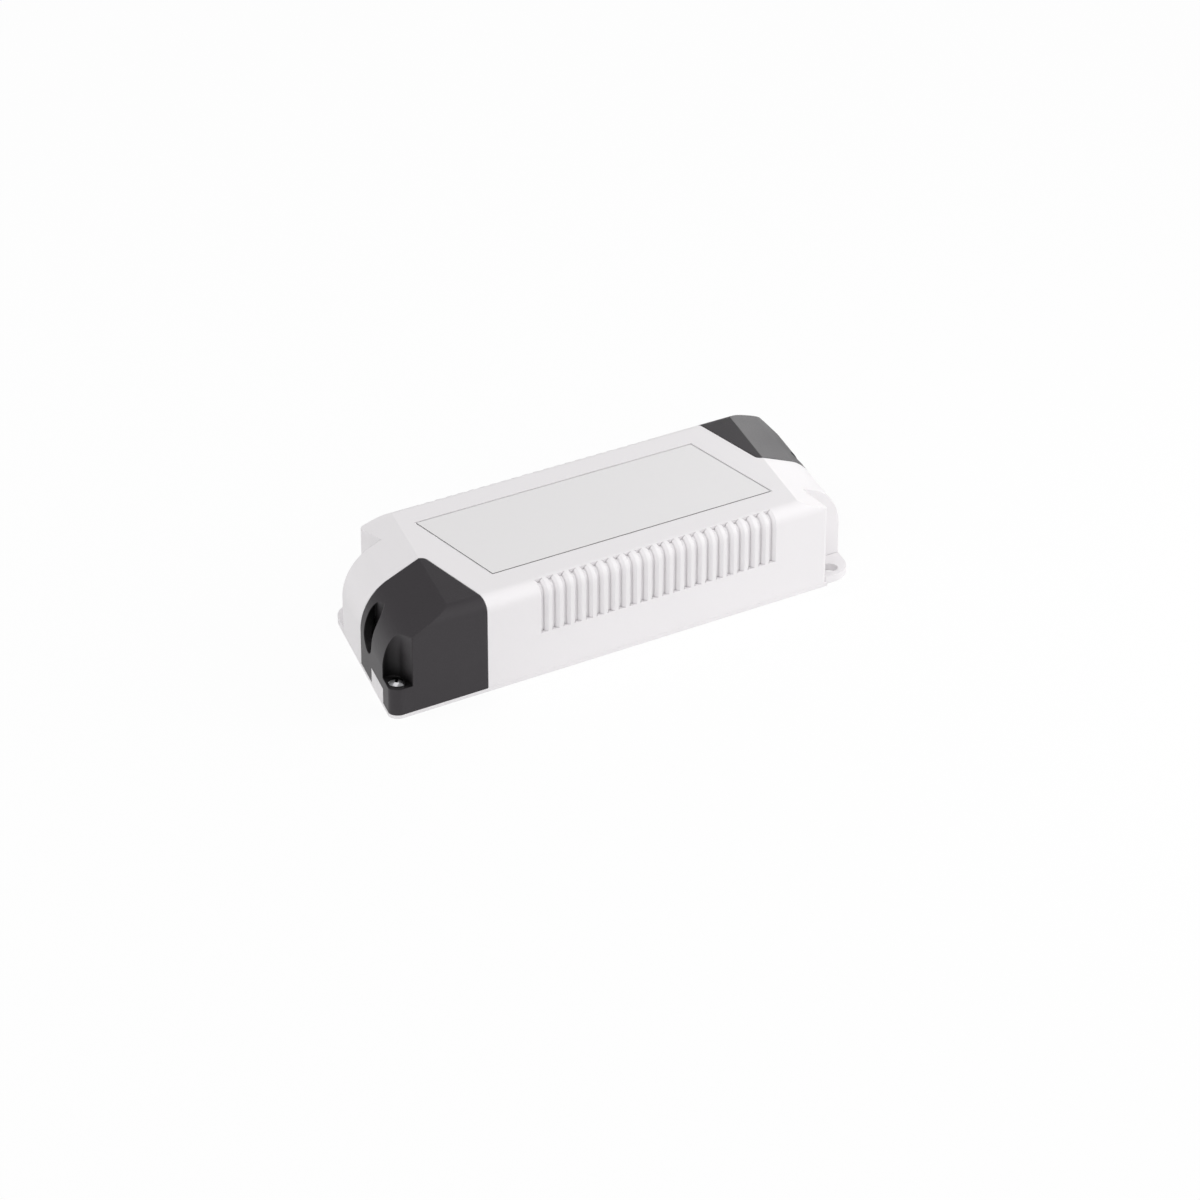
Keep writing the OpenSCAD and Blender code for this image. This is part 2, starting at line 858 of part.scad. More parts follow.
// Input reservoir capacitor, lying along the board on bent leads
module bulk_capacitor() {
    bulk_d = 10;
    bulk_len = 18;
    lead_y = 2.5;
    centre_z = board_top + slide + bulk_d / 2;
    low_x = bulk_at[0] - bulk_len / 2;
    color("midnightblue") {
        translate([low_x, bulk_at[1], centre_z]) rotate([0, 90, 0]) capacitor_can(bulk_d, bulk_len);
        for (side = [-1, 1]) {
            translate([low_x - bend_out, bulk_at[1] + side * lead_y, centre_z]) rotate([0, 90, 0])
                cylinder(d = bent_d, h = 2 * bend_out);
            lead(low_x - bend_out, bulk_at[1] + side * lead_y, centre_z + lead_d / 2);
        }
    }
}

// Output smoothing capacitors, standing
module output_capacitors() {
    can_d = 8;
    can_h = 10.5;
    color("midnightblue") for (place = output_caps_at)
        translate([place[0], place[1], board_top]) capacitor_can(can_d, can_h);
}

// Switching transistor, flat on the board with its metal tab and two legs
module switching_transistor() {
    case_half = 3.3;
    case_depth = 3;
    case_h = 2.3;
    tab_half = 2.7;
    tab_len = 5;
    tab_t = 0.5;
    leg_x = 2.3;
    leg_half = 0.4;
    leg_len = 5.2;
    leg_t = 0.6;
    color("black")
    translate([transistor_at[0], transistor_at[1], board_top]) {
        block([-case_half, -case_depth, slide], [case_half, case_depth, case_h]);
        block([-tab_half, 0, 0], [tab_half, tab_len, tab_t]);
        for (side = [-1, 1])
            translate([side * leg_x, 0, 0]) block([-leg_half, -leg_len, 0], [leg_half, 0, leg_t]);
    }
}

// Round axial component lying along X between two bent leads
module axial_component(d, len) {
    centre_z = board_top + slide + d / 2;
    span = len + 2 * bend_out;
    translate([-len / 2, 0, centre_z]) rotate([0, 90, 0]) cylinder(d = d, h = len);
    translate([-span / 2, 0, centre_z]) rotate([0, 90, 0]) cylinder(d = bent_d, h = span);
    for (side = [-1, 1])
        lead(side * span / 2, 0, centre_z + lead_d / 2);
}

// Snubber resistor
module snubber_resistor() {
    snubber_d = 3.6;
    snubber_len = 9;
    color("tan") translate([snubber_at[0], snubber_at[1], 0]) axial_component(snubber_d, snubber_len);
}

// Output rectifier diode, across the board
module output_diode() {
    diode_d = 5;
    diode_len = 9;
    color("black") translate([diode_at[0], diode_at[1], 0]) rotate([0, 0, 90])
        axial_component(diode_d, diode_len);
}

// Closed E core pair, lying, with its centre leg along X
module transformer_core() {
    window = (core_w - core_leg) / 2 - core_limb;
    color("darkslategray")
    translate([transformer_at[0], transformer_at[1], core_z]) linear_extrude(height = core_t) difference() {
        square([core_len, core_w], center = true);
        for (side = [-1, 1])
            translate([0, side * (core_leg + window) / 2])
                square([core_len - 2 * yoke, window], center = true);
    }
}

// Tube of a transformer's bobbin or winding around the centre leg
module leg_tube(len, inner, outer) {
    translate([transformer_at[0], transformer_at[1], core_z + core_t / 2]) difference() {
        cube([len, core_leg + 2 * outer, core_t + 2 * outer], center = true);
        cube([len + cut, core_leg + 2 * inner, core_t + 2 * inner], center = true);
    }
}

// Bobbin with two flanges, and a pin rail at each end that stands on the board
module transformer_bobbin() {
    rail_half = [bobbin_t / 2, core_w / 2, 0];
    color("ivory") {
        leg_tube(bobbin_len, slide, slide + bobbin_t);
        for (side = [-1, 1]) translate([side * (bobbin_len - bobbin_t) / 2, 0, 0]) {
            leg_tube(bobbin_t, slide, flange);
            translate([transformer_at[0], transformer_at[1], 0])
                block([0, 0, board_top] - rail_half, [0, 0, core_z - slide] + rail_half);
        }
    }
}

// Taped winding between the bobbin's flanges
module transformer_winding() {
    color("gold") leg_tube(bobbin_len - 2 * bobbin_t - 2 * slide, bobbin_t + 2 * slide, winding_depth);
}

base_tray();
top_housing();
input_cover();
output_cover();
cover_screws();
blank_label();
circuit_board();
input_terminal_block();
output_terminal_block();
terminal_screws();
wire_cages();
fuse();
varistor();
film_capacitor();
choke_core();
choke_windings();
bridge_rectifier();
bulk_capacitor();
switching_transistor();
snubber_resistor();
controller_chip();
transformer_core();
transformer_bobbin();
transformer_winding();
safety_capacitor();
optocoupler();
output_diode();
output_capacitors();
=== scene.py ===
"""LED driver: finishes of its mouldings, metal and electronics, with a pale floor, lamps and a camera."""

import math

import bpy
from bpy.props import FloatProperty, FloatVectorProperty, IntProperty, PointerProperty
from mathutils import Matrix, Vector


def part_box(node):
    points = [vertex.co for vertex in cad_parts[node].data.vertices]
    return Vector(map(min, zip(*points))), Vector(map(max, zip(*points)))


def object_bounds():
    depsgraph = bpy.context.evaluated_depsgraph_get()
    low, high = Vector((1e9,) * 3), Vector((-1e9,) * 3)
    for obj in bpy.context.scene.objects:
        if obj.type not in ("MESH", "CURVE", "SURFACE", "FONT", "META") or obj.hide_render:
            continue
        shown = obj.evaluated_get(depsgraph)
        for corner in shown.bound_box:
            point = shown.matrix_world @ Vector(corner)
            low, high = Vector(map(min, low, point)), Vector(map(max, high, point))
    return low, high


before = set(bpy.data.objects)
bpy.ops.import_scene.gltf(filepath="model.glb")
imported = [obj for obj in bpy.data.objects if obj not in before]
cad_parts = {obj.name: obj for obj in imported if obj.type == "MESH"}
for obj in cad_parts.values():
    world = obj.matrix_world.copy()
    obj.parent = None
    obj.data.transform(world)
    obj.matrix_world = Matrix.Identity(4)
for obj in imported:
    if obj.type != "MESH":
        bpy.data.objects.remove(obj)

bl_info = {
    "name": "LED driver studio",
    "version": (1, 0, 0),
    "blender": (4, 5, 0),
    "location": "3D View > Sidebar > LED driver",
    "description": "Finishes an LED driver and stands it in a pale studio",
    "category": "Object",
}

CAD_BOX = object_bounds()
MM = 0.001

# The photograph's frame is square
FRAME_PX = 1200
SENSOR_MM = 36.0

# Samples of the shader nodes that look round a point
BEVEL_SAMPLES = 6
SHADE_SAMPLES = 8

# How far a moulding's roughness strays from its mean, to either side
ROUGHNESS_SPREAD = 0.06

# Each lamp's name, its place and the side of its square, in metres
LAMPS = (
    ("front_lamp", (-0.45, -0.1, 1.25), 1.1),
    ("right_lamp", (1.35, -0.2, 0.42), 0.9),
    ("near_lamp", (0.25, -0.22, 0.15), 0.15),
    ("rim_lamp", (1.0, 0.95, 0.2), 0.4),
)


def colour(name, description, default):
    """A colour that a user may change."""
    return FloatVectorProperty(
        name=name, description=description, subtype="COLOR", size=3, min=0.0, max=1.0, default=default
    )


def share(name, description, default):
    """A strength or brightness from nought to one."""
    return FloatProperty(
        name=name, description=description, subtype="FACTOR", min=0.0, max=1.0, default=default
    )


def number(name, description, default, top):
    """A plain number from nought to its top."""
    return FloatProperty(name=name, description=description, min=0.0, max=top, default=default)


def power(name, description, default_watts):
    """The power of a lamp, in watts."""
    return FloatProperty(
        name=name, description=description, unit="POWER", min=0.0, default=default_watts
    )


def length(name, description, default_mm):
    """A size in millimetres, kept in metres."""
    return FloatProperty(
        name=name, description=description, subtype="DISTANCE", unit="LENGTH",
        min=0.0, default=default_mm * MM,
    )


def angle(name, description, default_deg):
    """An angle in degrees, kept in radians."""
    return FloatProperty(
        name=name, description=description, subtype="ANGLE", unit="ROTATION",
        default=math.radians(default_deg),
    )


class MouldingSettings(bpy.types.PropertyGroup):
    """Finish of the white and the dark mouldings."""

    white: colour("White", "Plastic of the housing and the base", (0.815, 0.795, 0.808))
    dark: colour("Dark grey", "Plastic of the terminal covers", (0.045, 0.041, 0.045))
    grain: length("Grain", "Size of one grain of the mould's texture", 0.45)
    white_grain_depth: length("White grain depth", "Depth of the texture on the housing", 0.012)
    dark_grain_depth: length("Dark grain depth", "Depth of the texture on the covers", 0.03)
    white_roughness: share("White roughness", "Roughness of the housing", 0.5)
    dark_roughness: share("Dark roughness", "Roughness of the covers", 0.45)
    dark_gloss: share("Dark gloss", "Specular level of the covers", 0.22)
    white_cloud: share("White cloud", "Brightness of the housing where it is faintly clouded", 0.96)
    dark_cloud: share("Dark cloud", "Brightness of the covers where they are faintly clouded", 0.8)
    # A paler band along the edges, broken by noise, is a painted edge highlight
    edge_highlight_width: length("Painted edge highlight", "Width of the paler band along an edge", 0.35)
    white_edge_highlight: number("White edge highlight", "Brightness of the housing's edges against its faces", 1.06, top=4.0)
    dark_edge_highlight: number("Dark edge highlight", "Brightness of the covers' edges against their faces", 1.3, top=4.0)
    white_edge: length("White edge", "Radius of the small rounds on the housing's edges", 0.15)
    dark_edge: length("Dark edge", "Radius of the small rounds on the covers' edges", 0.4)
    # Painted shade in the housing's grooves, such as the vents and the ring round the label
    white_reach: length("White reach", "How wide a groove of the housing may be to look shaded", 0.3)
    white_shade: share("White shade", "Brightness of the housing in its deepest grooves", 0.5)
    white_steepness: number(
        "White steepness", "How fast the shade grows into the housing's grooves", 1.0, top=8.0
    )
    # Painted shade in the covers' recesses, such as the screw pockets
    dark_reach: length("Dark reach", "How wide a recess of the covers may be to look shaded", 8.0)
    dark_shade: share("Dark shade", "Brightness of the covers in their deepest recesses", 0.03)
    dark_steepness: number(
        "Dark steepness", "How fast the shade grows into the covers' recesses", 4.5, top=8.0
    )


class LabelSettings(bpy.types.PropertyGroup):
    """Finish of the blank label."""

    film: colour("Film", "Colour of the blank label film", (0.784, 0.772, 0.777))
    cloud: share("Cloud", "Brightness of the film where it is faintly clouded", 0.985)
    # Painted shade on the film's cut edge, for the dark line of the groove round the label
    film_edge_shade: share("Painted edge shade", "Brightness of the film's cut edge", 0.3)
    roughness: share("Roughness", "Roughness of the film", 0.42)
    grain: length("Grain", "Size of the film's fine waves", 1.6)
    depth: length("Depth", "Depth of the film's fine waves", 0.006)


class MetalSettings(bpy.types.PropertyGroup):
    """Finish of the screws and the wire cages."""

    steel: colour("Steel", "Plated steel of the screws", (0.3, 0.3, 0.31))
    brass: colour("Brass", "Brass of the wire cages", (0.70, 0.56, 0.25))
    roughness: share("Roughness", "Roughness of the plating", 0.18)
    # Painted shade in the metal's recesses, such as the screws' cross recesses
    recess_reach: length("Recess reach", "How wide a recess of the metal may be to look shaded", 1.4)
    recess_shade: share("Recess shade", "Brightness of the metal in its deepest recesses", 0.05)
    recess_steepness: number(
        "Recess steepness", "How fast the shade grows into the metal's recesses", 1.6, top=8.0
    )


class InsideSettings(bpy.types.PropertyGroup):
    """Colours of the board and what stands on it."""

    laminate: colour("Laminate", "Solder mask of the board", (0.05, 0.22, 0.10))
    trace: colour("Trace", "Solder mask over copper", (0.09, 0.31, 0.15))
    terminal: colour("Terminal", "Plastic of the terminal blocks", (0.04, 0.20, 0.09))
    ferrite: colour("Ferrite", "Cores of the choke and the transformer", (0.06, 0.06, 0.065))
    copper: colour("Copper", "Enamelled wire", (0.50, 0.18, 0.06))
    package: colour("Package", "Moulded packages", (0.03, 0.03, 0.032))
    disc: colour("Disc", "Coated discs", (0.05, 0.14, 0.42))
    film_case: colour("Film case", "Case of the film capacitor", (0.75, 0.58, 0.08))
    sleeve: colour("Sleeve", "Sleeves of the capacitor cans", (0.03, 0.04, 0.10))
    fuse_case: colour("Fuse case", "Case of the fuse", (0.22, 0.10, 0.05))
    resistor: colour("Resistor", "Coating of the resistor", (0.55, 0.42, 0.26))
    ivory: colour("Ivory", "Bobbin and optocoupler", (0.72, 0.68, 0.56))
    tape: colour("Tape", "Tape of the winding", (0.78, 0.62, 0.10))
    wire_pitch: length("Wire pitch", "Spacing of the turns under the tape", 0.6)
    choke_turns: IntProperty(
        name="Choke turns", description="Turns all round the line choke", min=1, max=200, default=46
    )


class StageSettings(bpy.types.PropertyGroup):
    """Floor, light and camera."""

    floor: colour("Floor", "Colour of the floor", (0.86, 0.86, 0.86))
    floor_lift: share("Floor lift", "How much of the floor's own white the camera sees", 0.92)
    floor_size: length("Floor size", "Side of the square floor", 6000.0)
    floor_gap: length(
        "Floor gap", "How far the floor lies below the part, so that their faces stay apart", 0.02
    )
    sky: number("Sky", "Strength of the soft light all round", 0.84, top=4.0)
    dim_sky: number("Dim sky", "Strength of the sky high up behind the part", 0.2, top=4.0)
    front_power: power("Front power", "Power of the large lamp high above", 6.2)
    right_power: power("Right power", "Power of the lamp at the right", 3.0)
    near_power: power("Near power", "Power of the small lamp close at the right", 0.23)
    rim_power: power("Rim power", "Power of the low lamp behind at the right", 1.75)
    azimuth: angle("Azimuth", "Turn of the camera about the part", 34.43)
    elevation: angle("Elevation", "Height of the camera above the floor's plane", 26.4)
    roll: angle("Roll", "Roll of the camera", 0.0)
    distance: length("Distance", "Distance from the camera to the aim", 995.3)
    focal_px: FloatProperty(
        name="Focal length", description="Focal length, in pixels of the frame", subtype="PIXEL",
        min=1.0, default=4363.0,
    )
    aim_z: length("Aim height", "Height of the point that the camera is set from", 10.8)
    side_step: length("Side step", "Shift of the camera to its right", 1.2)
    drop: length("Drop", "Shift of the camera downwards", 10.7)


class DriverSettings(bpy.types.PropertyGroup):
    """All the settings of the LED driver."""

    moulding: PointerProperty(type=MouldingSettings)
    label: PointerProperty(type=LabelSettings)
    metal: PointerProperty(type=MetalSettings)
    inside: PointerProperty(type=InsideSettings)
    stage: PointerProperty(type=StageSettings)


def new_group(name, inputs, outputs):
    """A shader node group with the named sockets, and its two ends."""
    tree = bpy.data.node_groups.new(name, "ShaderNodeTree")
    for socket, kind, default in inputs:
        made = tree.interface.new_socket(socket, in_out="INPUT", socket_type=kind)
        if default is not None:
            made.default_value = default
    for socket, kind in outputs:
        tree.interface.new_socket(socket, in_out="OUTPUT", socket_type=kind)
    return tree, tree.nodes.new("NodeGroupInput"), tree.nodes.new("NodeGroupOutput")


def feed(tree, socket, value):
    """Sets an input socket from another node's output, a colour or a number."""
    if isinstance(value, bpy.types.NodeSocket):
        tree.links.new(value, socket)
    elif isinstance(value, tuple):
        socket.default_value = (*value, 1.0)
    else:
        socket.default_value = value


def math_node(tree, operation, *values):
    """A Math node on sockets or numbers, as its output socket."""
    node = tree.nodes.new("ShaderNodeMath")
    node.operation = operation
    for socket, value in zip(node.inputs, values):
        feed(tree, socket, value)
    return node.outputs[0]


def spread(tree, value, low, high):
    """A value from nought to one, spread between two others."""
    node = tree.nodes.new("ShaderNodeMapRange")
    feed(tree, node.inputs["Value"], value)
    feed(tree, node.inputs["To Min"], low)
    feed(tree, node.inputs["To Max"], high)
    return node.outputs["Result"]


def noise(tree, place, scale, detail):
    """Noise on a place, with its scale as a socket or a number."""
    node = tree.nodes.new("ShaderNodeTexNoise")
    feed(tree, node.inputs["Vector"], place)
    feed(tree, node.inputs["Scale"], scale)
    feed(tree, node.inputs["Detail"], detail)
    return node.outputs["Fac"]


def tinted(tree, base, tint, mask):
    """A colour that turns to a tint where a mask says."""
    node = tree.nodes.new("ShaderNodeMix")
    node.data_type = "RGBA"
    # A Mix node holds the sockets of all its data types, and these are the ones for colours
    base_socket, tint_socket, mixed_socket = node.inputs[6], node.inputs[7], node.outputs[2]
    feed(tree, node.inputs["Factor"], mask)
    feed(tree, base_socket, base)
    feed(tree, tint_socket, tint)
    return mixed_socket


def object_place(tree):
    """The place on the part, in metres."""
    return tree.nodes.new("ShaderNodeTexCoord").outputs["Object"]


def object_xyz(tree):
    """The place on the part as X, Y and Z, in metres."""
    split = tree.nodes.new("ShaderNodeSeparateXYZ")
    tree.links.new(object_place(tree), split.inputs[0])
    return split.outputs


def moulded_texture_group():
    """Even grain of a mould's texture, with a faint cloudiness in colour and gloss."""
    cloud_scale = 55.0
    grain_share = 0.5
    tree, start, end = new_group(
        "Moulded texture",
        [
            ("Colour", "NodeSocketColor", None),
            ("Cloud colour", "NodeSocketColor", None),
            ("Grain size", "NodeSocketFloat", 0.4 * MM),
            ("Smoothest", "NodeSocketFloat", 0.4),
            ("Roughest", "NodeSocketFloat", 0.6),
        ],
        [("Colour", "NodeSocketColor"), ("Roughness", "NodeSocketFloat"), ("Height", "NodeSocketFloat")],
    )
    place = object_place(tree)
    grains_in_metre = math_node(tree, "DIVIDE", 1.0, start.outputs["Grain size"])
    grain = noise(tree, place, grains_in_metre, detail=2.0)
    cloud = noise(tree, place, cloud_scale, detail=3.0)
    cloudy = math_node(tree, "MULTIPLY", cloud, 1.0 - grain_share)
    mixed = math_node(tree, "MULTIPLY_ADD", grain, grain_share, cloudy)
    shade = tinted(tree, start.outputs["Colour"], start.outputs["Cloud colour"], mixed)
    tree.links.new(shade, end.inputs["Colour"])
    gloss = spread(tree, mixed, start.outputs["Smoothest"], start.outputs["Roughest"])
    tree.links.new(gloss, end.inputs["Roughness"])
    tree.links.new(grain, end.inputs["Height"])
    return tree


def edge_highlight_group():
    """Mask of the narrow band along an edge, broken by noise, where a highlight is painted."""
    break_scale = 700.0
    band_gain = 3.0
    tree, start, end = new_group(
        "Painted edge highlight", [("Width", "NodeSocketFloat", 0.3 * MM)], [("Mask", "NodeSocketFloat")]
    )
    bevel = tree.nodes.new("ShaderNodeBevel")
    bevel.samples = BEVEL_SAMPLES
    tree.links.new(start.outputs["Width"], bevel.inputs["Radius"])
    facing = tree.nodes.new("ShaderNodeVectorMath")
    facing.operation = "DOT_PRODUCT"
    tree.links.new(bevel.outputs["Normal"], facing.inputs[0])
    tree.links.new(tree.nodes.new("ShaderNodeNewGeometry").outputs["Normal"], facing.inputs[1])
    turned = math_node(tree, "SUBTRACT", 1.0, facing.outputs["Value"])
    band = math_node(tree, "MULTIPLY", turned, band_gain)
    broken = math_node(tree, "MULTIPLY", band, noise(tree, object_place(tree), break_scale, detail=2.0))
    broken.node.use_clamp = True
    tree.links.new(broken, end.inputs["Mask"])
    return tree


def wound_turns_group():
    """Turns of wire: a ridge for each half wave of a phase, with painted shade in the valleys."""
    tree, start, end = new_group(
        "Wound turns",
        [
            ("Phase", "NodeSocketFloat", 0.0),
            ("Colour", "NodeSocketColor", None),
            ("Valley", "NodeSocketColor", None),
        ],
        [("Colour", "NodeSocketColor"), ("Height", "NodeSocketFloat")],
    )
    ridge = math_node(tree, "ABSOLUTE", math_node(tree, "SINE", start.outputs["Phase"]))
    shade = tinted(tree, start.outputs["Valley"], start.outputs["Colour"], ridge)
    tree.links.new(shade, end.inputs["Colour"])
    tree.links.new(ridge, end.inputs["Height"])
    return tree


def plated_metal_group():
    """Fine drawn marks of plated metal, in colour, gloss and height."""
    mark_scale = 2600.0
    mark_stretch = (1.0, 0.15, 1.0)
    tree, start, end = new_group(
        "Plated metal",
        [
            ("Colour", "NodeSocketColor", None),
            ("Mark colour", "NodeSocketColor", None),
            ("Smoothest", "NodeSocketFloat", 0.2),
            ("Roughest", "NodeSocketFloat", 0.4),
        ],
        [("Colour", "NodeSocketColor"), ("Roughness", "NodeSocketFloat"), ("Height", "NodeSocketFloat")],
    )
    stretch = tree.nodes.new("ShaderNodeMapping")
    stretch.inputs["Scale"].default_value = mark_stretch
    tree.links.new(object_place(tree), stretch.inputs["Vector"])
    marks = noise(tree, stretch.outputs["Vector"], mark_scale, detail=3.0)
    shade = tinted(tree, start.outputs["Colour"], start.outputs["Mark colour"], marks)
    tree.links.new(shade, end.inputs["Colour"])
    gloss = spread(tree, marks, start.outputs["Smoothest"], start.outputs["Roughest"])
    tree.links.new(gloss, end.inputs["Roughness"])
    tree.links.new(marks, end.inputs["Height"])
    return tree


def deep_shade_group():
    """Painted shade: colour that darkens in recesses, where little of the surroundings is seen."""
    tree, start, end = new_group(
        "Deep shade",
        [
            ("Colour", "NodeSocketColor", None),
            ("Shade", "NodeSocketColor", None),
            ("Reach", "NodeSocketFloat", 5.0 * MM),
            ("Steepness", "NodeSocketFloat", 1.0),
        ],
        [("Colour", "NodeSocketColor")],
    )
    # How open a point is to its surroundings sets how much shade is painted there
    open_share = tree.nodes.new("ShaderNodeAmbientOcclusion")
    open_share.samples = SHADE_SAMPLES
    open_share.only_local = True
    tree.links.new(start.outputs["Reach"], open_share.inputs["Distance"])
    lit_share = math_node(tree, "POWER", open_share.outputs["AO"], start.outputs["Steepness"])
    lit = tinted(tree, start.outputs["Shade"], start.outputs["Colour"], lit_share)
    tree.links.new(lit, end.inputs["Colour"])
    return tree


def edge_shade_group():
    """Colour that turns to another on upright faces, for painted shade on the cut edge of a film."""
    tree, start, end = new_group(
        "Painted edge shade",
        [("Colour", "NodeSocketColor", None), ("Edge colour", "NodeSocketColor", None)],
        [("Colour", "NodeSocketColor")],
    )
    split = tree.nodes.new("ShaderNodeSeparateXYZ")
    tree.links.new(tree.nodes.new("ShaderNodeTexCoord").outputs["Normal"], split.inputs[0])
    upright = math_node(tree, "SUBTRACT", 1.0, math_node(tree, "ABSOLUTE", split.outputs["Z"]))
    edged = tinted(tree, start.outputs["Colour"], start.outputs["Edge colour"], upright)
    tree.links.new(edged, end.inputs["Colour"])
    return tree


GROUP_MAKERS = {
    "Moulded texture": moulded_texture_group,
    "Painted edge highlight": edge_highlight_group,
    "Wound turns": wound_turns_group,
    "Plated metal": plated_metal_group,
    "Deep shade": deep_shade_group,
    "Painted edge shade": edge_shade_group,
}


def effect(tree, name, **values):
    """Places a shared effect in a material, with its own values."""
    node = tree.nodes.new("ShaderNodeGroup")
    node.node_tree = bpy.data.node_groups.get(name) or GROUP_MAKERS[name]()
    for socket, value in values.items():
        feed(tree, node.inputs[socket.replace("_", " ")], value)
    return node


def new_finish(name):
    """A new material, with its node tree and its Principled shader."""
    material = bpy.data.materials.new(name)
    material.use_nodes = True
    return material, material.node_tree, material.node_tree.nodes["Principled BSDF"]


def relief(tree, shader, height, depth, edge=0.0):
    """Bumps a shader by a height of nought to one times a depth, over edges that may look rounded."""
    bump = tree.nodes.new("ShaderNodeBump")
    bump.inputs["Strength"].default_value = 1.0
    bump.inputs["Distance"].default_value = depth
    tree.links.new(height, bump.inputs["Height"])
    tree.links.new(bump.outputs["Normal"], shader.inputs["Normal"])
    if edge > 0.0:
        bevel = tree.nodes.new("ShaderNodeBevel")
        bevel.samples = BEVEL_SAMPLES
        bevel.inputs["Radius"].default_value = edge
        tree.links.new(bevel.outputs["Normal"], bump.inputs["Normal"])


def shaded(value, factor):
    """A colour made darker or paler."""
    return tuple(min(1.0, channel * factor) for channel in value)


def with_painted_shade(tree, surface, base, reach, darkest, steepness):
    """A surface colour with painted shade, turning to a darker base in recesses."""
    deep = effect(
        tree, "Deep shade", Colour=surface, Shade=shaded(base, darkest), Reach=reach, Steepness=steepness
    )
    return deep.outputs["Colour"]


def moulded_plastic(
    name, base, roughness, grain, depth, cloud, painted_highlight=None, gloss=0.5, edge=0.0, shade=None, cut=None
):
    """Textured, clouded plastic; where asked, rounded edges, painted edge highlights and painted shade in
    recesses and on cut edges.
    """
    material, tree, shader = new_finish(name)
    shader.inputs["Specular IOR Level"].default_value = gloss
    base = tuple(base)
    texture = effect(
        tree,
        "Moulded texture",
        Colour=base,
        Cloud_colour=shaded(base, cloud),
        Grain_size=grain,
        Smoothest=roughness - ROUGHNESS_SPREAD,
        Roughest=roughness + ROUGHNESS_SPREAD,
    )
    surface = texture.outputs["Colour"]
    # Painted edge highlight: a paler band along the edges
    if painted_highlight is not None:
        width, tint = painted_highlight
        mask = effect(tree, "Painted edge highlight", Width=width).outputs["Mask"]
        surface = tinted(tree, surface, tint, mask)
    # Painted shade in recesses
    if shade is not None:
        surface = with_painted_shade(tree, surface, base, *shade)
    # Painted shade on the upright cut edges
    if cut is not None:
        surface = effect(tree, "Painted edge shade", Colour=surface, Edge_colour=shaded(base, cut)).outputs["Colour"]
    tree.links.new(surface, shader.inputs["Base Color"])
    tree.links.new(texture.outputs["Roughness"], shader.inputs["Roughness"])
    relief(tree, shader, texture.outputs["Height"], depth, edge)
    return material


def plated_metal(name, base, roughness, shade):
    """Plated metal with fine marks and painted shade in its recesses."""
    mark_tint = 0.82
    smoother_by = 0.08
    rougher_by = 0.1
    depth = 0.004 * MM
    material, tree, shader = new_finish(name)
    shader.inputs["Metallic"].default_value = 1.0
    marks = effect(
        tree,
        "Plated metal",
        Colour=tuple(base),
        Mark_colour=shaded(base, mark_tint),
        Smoothest=roughness - smoother_by,
        Roughest=roughness + rougher_by,
    )
    # Painted shade in the recesses
    surface = with_painted_shade(tree, marks.outputs["Colour"], base, *shade)
    tree.links.new(surface, shader.inputs["Base Color"])
    tree.links.new(marks.outputs["Roughness"], shader.inputs["Roughness"])
    relief(tree, shader, marks.outputs["Height"], depth)
    return material


def wound(name, base, phase_of, roughness, depth):
    """Wire or tape over wire, with ridges whose phase comes from the place."""
    # Painted shade in the valleys between the turns
    valley_shade = 0.45
    material, tree, shader = new_finish(name)
    shader.inputs["Roughness"].default_value = roughness
    turns = effect(
        tree, "Wound turns", Phase=phase_of(tree), Colour=tuple(base), Valley=shaded(base, valley_shade)
    )
    tree.links.new(turns.outputs["Colour"], shader.inputs["Base Color"])
    relief(tree, shader, turns.outputs["Height"], depth)
    return material


def phase_along_x(pitch):
    """Phase of turns that follow each other along X."""

    def phase(tree):
        return math_node(tree, "MULTIPLY", object_xyz(tree)["X"], math.pi / pitch)

    return phase


def phase_round(centre, turns):
    """Phase of turns that follow each other round an upright axis."""

    def phase(tree):
        place = object_xyz(tree)
        away_x = math_node(tree, "SUBTRACT", place["X"], centre.x)
        away_y = math_node(tree, "SUBTRACT", place["Y"], centre.y)
        # Two turns make a whole wave
        waves = turns / 2
        return math_node(tree, "MULTIPLY", math_node(tree, "ARCTAN2", away_y, away_x), waves)

    return phase


def printed_board(name, laminate, trace):
    """Solder mask with paler tracks where copper lies under it."""
    track_scale = 130.0
    track_width = 0.06
    track_height = 0.03 * MM
    cloud = 0.85
    material, tree, shader = new_finish(name)
    tracks = tree.nodes.new("ShaderNodeTexBrick")
    tracks.inputs["Scale"].default_value = track_scale
    tracks.inputs["Mortar Size"].default_value = track_width
    tree.links.new(object_place(tree), tracks.inputs["Vector"])
    texture = effect(
        tree,
        "Moulded texture",
        Colour=tuple(laminate),
        Cloud_colour=shaded(laminate, cloud),
        Grain_size=0.5 * MM,
        Smoothest=0.3,
        Roughest=0.42,
    )
    surface = tinted(tree, texture.outputs["Colour"], tuple(trace), tracks.outputs["Fac"])
    tree.links.new(surface, shader.inputs["Base Color"])
    tree.links.new(texture.outputs["Roughness"], shader.inputs["Roughness"])
    relief(tree, shader, tracks.outputs["Fac"], track_height)
    return material


def dress(material, *nodes):
    """Gives a finish to the named solids."""
    for name in nodes:
        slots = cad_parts[name].data.materials
        slots.clear()
        slots.append(material)


